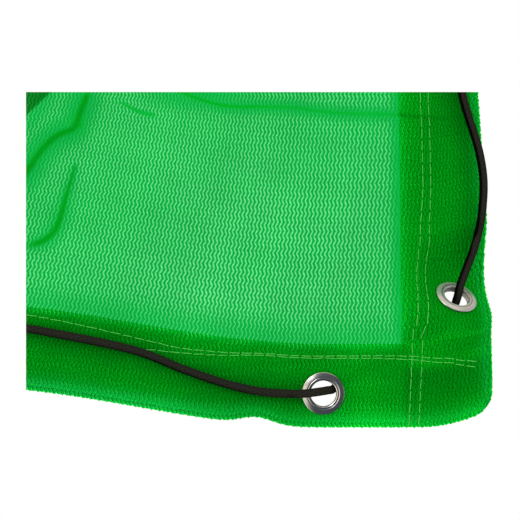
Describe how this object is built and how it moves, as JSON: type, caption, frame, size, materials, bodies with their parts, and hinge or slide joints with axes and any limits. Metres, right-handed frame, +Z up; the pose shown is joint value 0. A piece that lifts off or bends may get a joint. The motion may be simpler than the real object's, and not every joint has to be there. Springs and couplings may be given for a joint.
{
  "type": "mesh fly sheet",
  "caption": "Rectangular green knitted mesh sheet with stitched hems, nickel eyelets and a black elastic cord laced through them, looped over hooks to screen a stable or trailer opening.",
  "frame": {"origin": "middle of the bottom edge, on the face of the mesh; the middle of the part's depth is 2 mm behind it", "axes": "+Z up the hanging sheet, +X along its bottom edge to the right as seen from the face side, face side towards -Y"},
  "size_m": [1.5, 0.0183, 1],
  "materials": {
    "mesh": "knitted polyethylene mesh, see-through",
    "hem": "knitted polyethylene mesh, two plies",
    "thread": "polyester sewing thread",
    "nickel": "nickel plated",
    "cord": "braided polyester cover",
    "core": "natural rubber strands"
  },
  "bodies": {
    "right_half": {"panel_right": "mesh", "side_hem_right": "hem", "bottom_hem_right": "hem", "top_hem_right": "hem", "stitching_side_right": "thread", "stitching_bottom_right": "thread", "stitching_top_right": "thread", "grommet_low_right": "nickel", "washer_low_right": "nickel", "grommets_side_right": "nickel", "grommets_bottom_right": "nickel", "grommets_top_right": "nickel", "washers_side_right": "nickel", "washers_bottom_right": "nickel", "washers_top_right": "nickel", "cord_cover_right": "cord", "cord_core_right": "core"},
    "left_half": {"panel_left": "mesh", "side_hem_left": "hem", "bottom_hem_left": "hem", "top_hem_left": "hem", "stitching_side_left": "thread", "stitching_bottom_left": "thread", "stitching_top_left": "thread", "grommet_low_left": "nickel", "washer_low_left": "nickel", "grommets_side_left": "nickel", "grommets_bottom_left": "nickel", "grommets_top_left": "nickel", "washers_side_left": "nickel", "washers_bottom_left": "nickel", "washers_top_left": "nickel", "cord_cover_left": "cord", "cord_core_left": "core", "ferrule": "nickel"},
    "span_bottom_right": {"span_cover_bottom_right": "cord", "span_core_bottom_right": "core"},
    "span_bottom_left": {"span_cover_bottom_left": "cord", "span_core_bottom_left": "core"},
    "span_top_right": {"span_cover_top_right": "cord", "span_core_top_right": "core"},
    "span_top_left": {"span_cover_top_left": "cord", "span_core_top_left": "core"},
    "span_right_lower": {"span_cover_right_lower": "cord", "span_core_right_lower": "core"},
    "span_right_upper": {"span_cover_right_upper": "cord", "span_core_right_upper": "core"},
    "span_left_lower": {"span_cover_left_lower": "cord", "span_core_left_lower": "core"},
    "span_left_upper": {"span_cover_left_upper": "cord", "span_core_left_upper": "core"}
  },
  "joints": [
    {"name": "storage_fold", "type": "hinge", "parent": "right_half", "child": "left_half", "pos_m": [0, 0.014, 0.5], "axis": [0, 0, -1], "range_deg": [0, 175]},
    {"name": "swing_bottom_right", "type": "hinge", "parent": "right_half", "child": "span_bottom_right", "pos_m": [0.434, -0.005, 0.02], "axis": [1, 0, 0], "range_deg": [0, 175]},
    {"name": "swing_bottom_left", "type": "hinge", "parent": "left_half", "child": "span_bottom_left", "pos_m": [-0.434, -0.005, 0.02], "axis": [1, 0, 0], "range_deg": [0, 175]},
    {"name": "swing_top_right", "type": "hinge", "parent": "right_half", "child": "span_top_right", "pos_m": [0.434, -0.005, 0.98], "axis": [-1, 0, 0], "range_deg": [0, 175]},
    {"name": "swing_top_left", "type": "hinge", "parent": "left_half", "child": "span_top_left", "pos_m": [-0.434, -0.005, 0.98], "axis": [-1, 0, 0], "range_deg": [0, 175]},
    {"name": "swing_right_lower", "type": "hinge", "parent": "right_half", "child": "span_right_lower", "pos_m": [0.73, -0.005, 0.21733], "axis": [0, 0, -1], "range_deg": [0, 175]},
    {"name": "swing_right_upper", "type": "hinge", "parent": "right_half", "child": "span_right_upper", "pos_m": [0.73, -0.005, 0.78267], "axis": [0, 0, 1], "range_deg": [0, 175]},
    {"name": "swing_left_lower", "type": "hinge", "parent": "left_half", "child": "span_left_lower", "pos_m": [-0.73, -0.005, 0.21733], "axis": [0, 0, -1], "range_deg": [0, 175]},
    {"name": "swing_left_upper", "type": "hinge", "parent": "left_half", "child": "span_left_upper", "pos_m": [-0.73, -0.005, 0.78267], "axis": [0, 0, -1], "range_deg": [0, 175]}
  ]
}
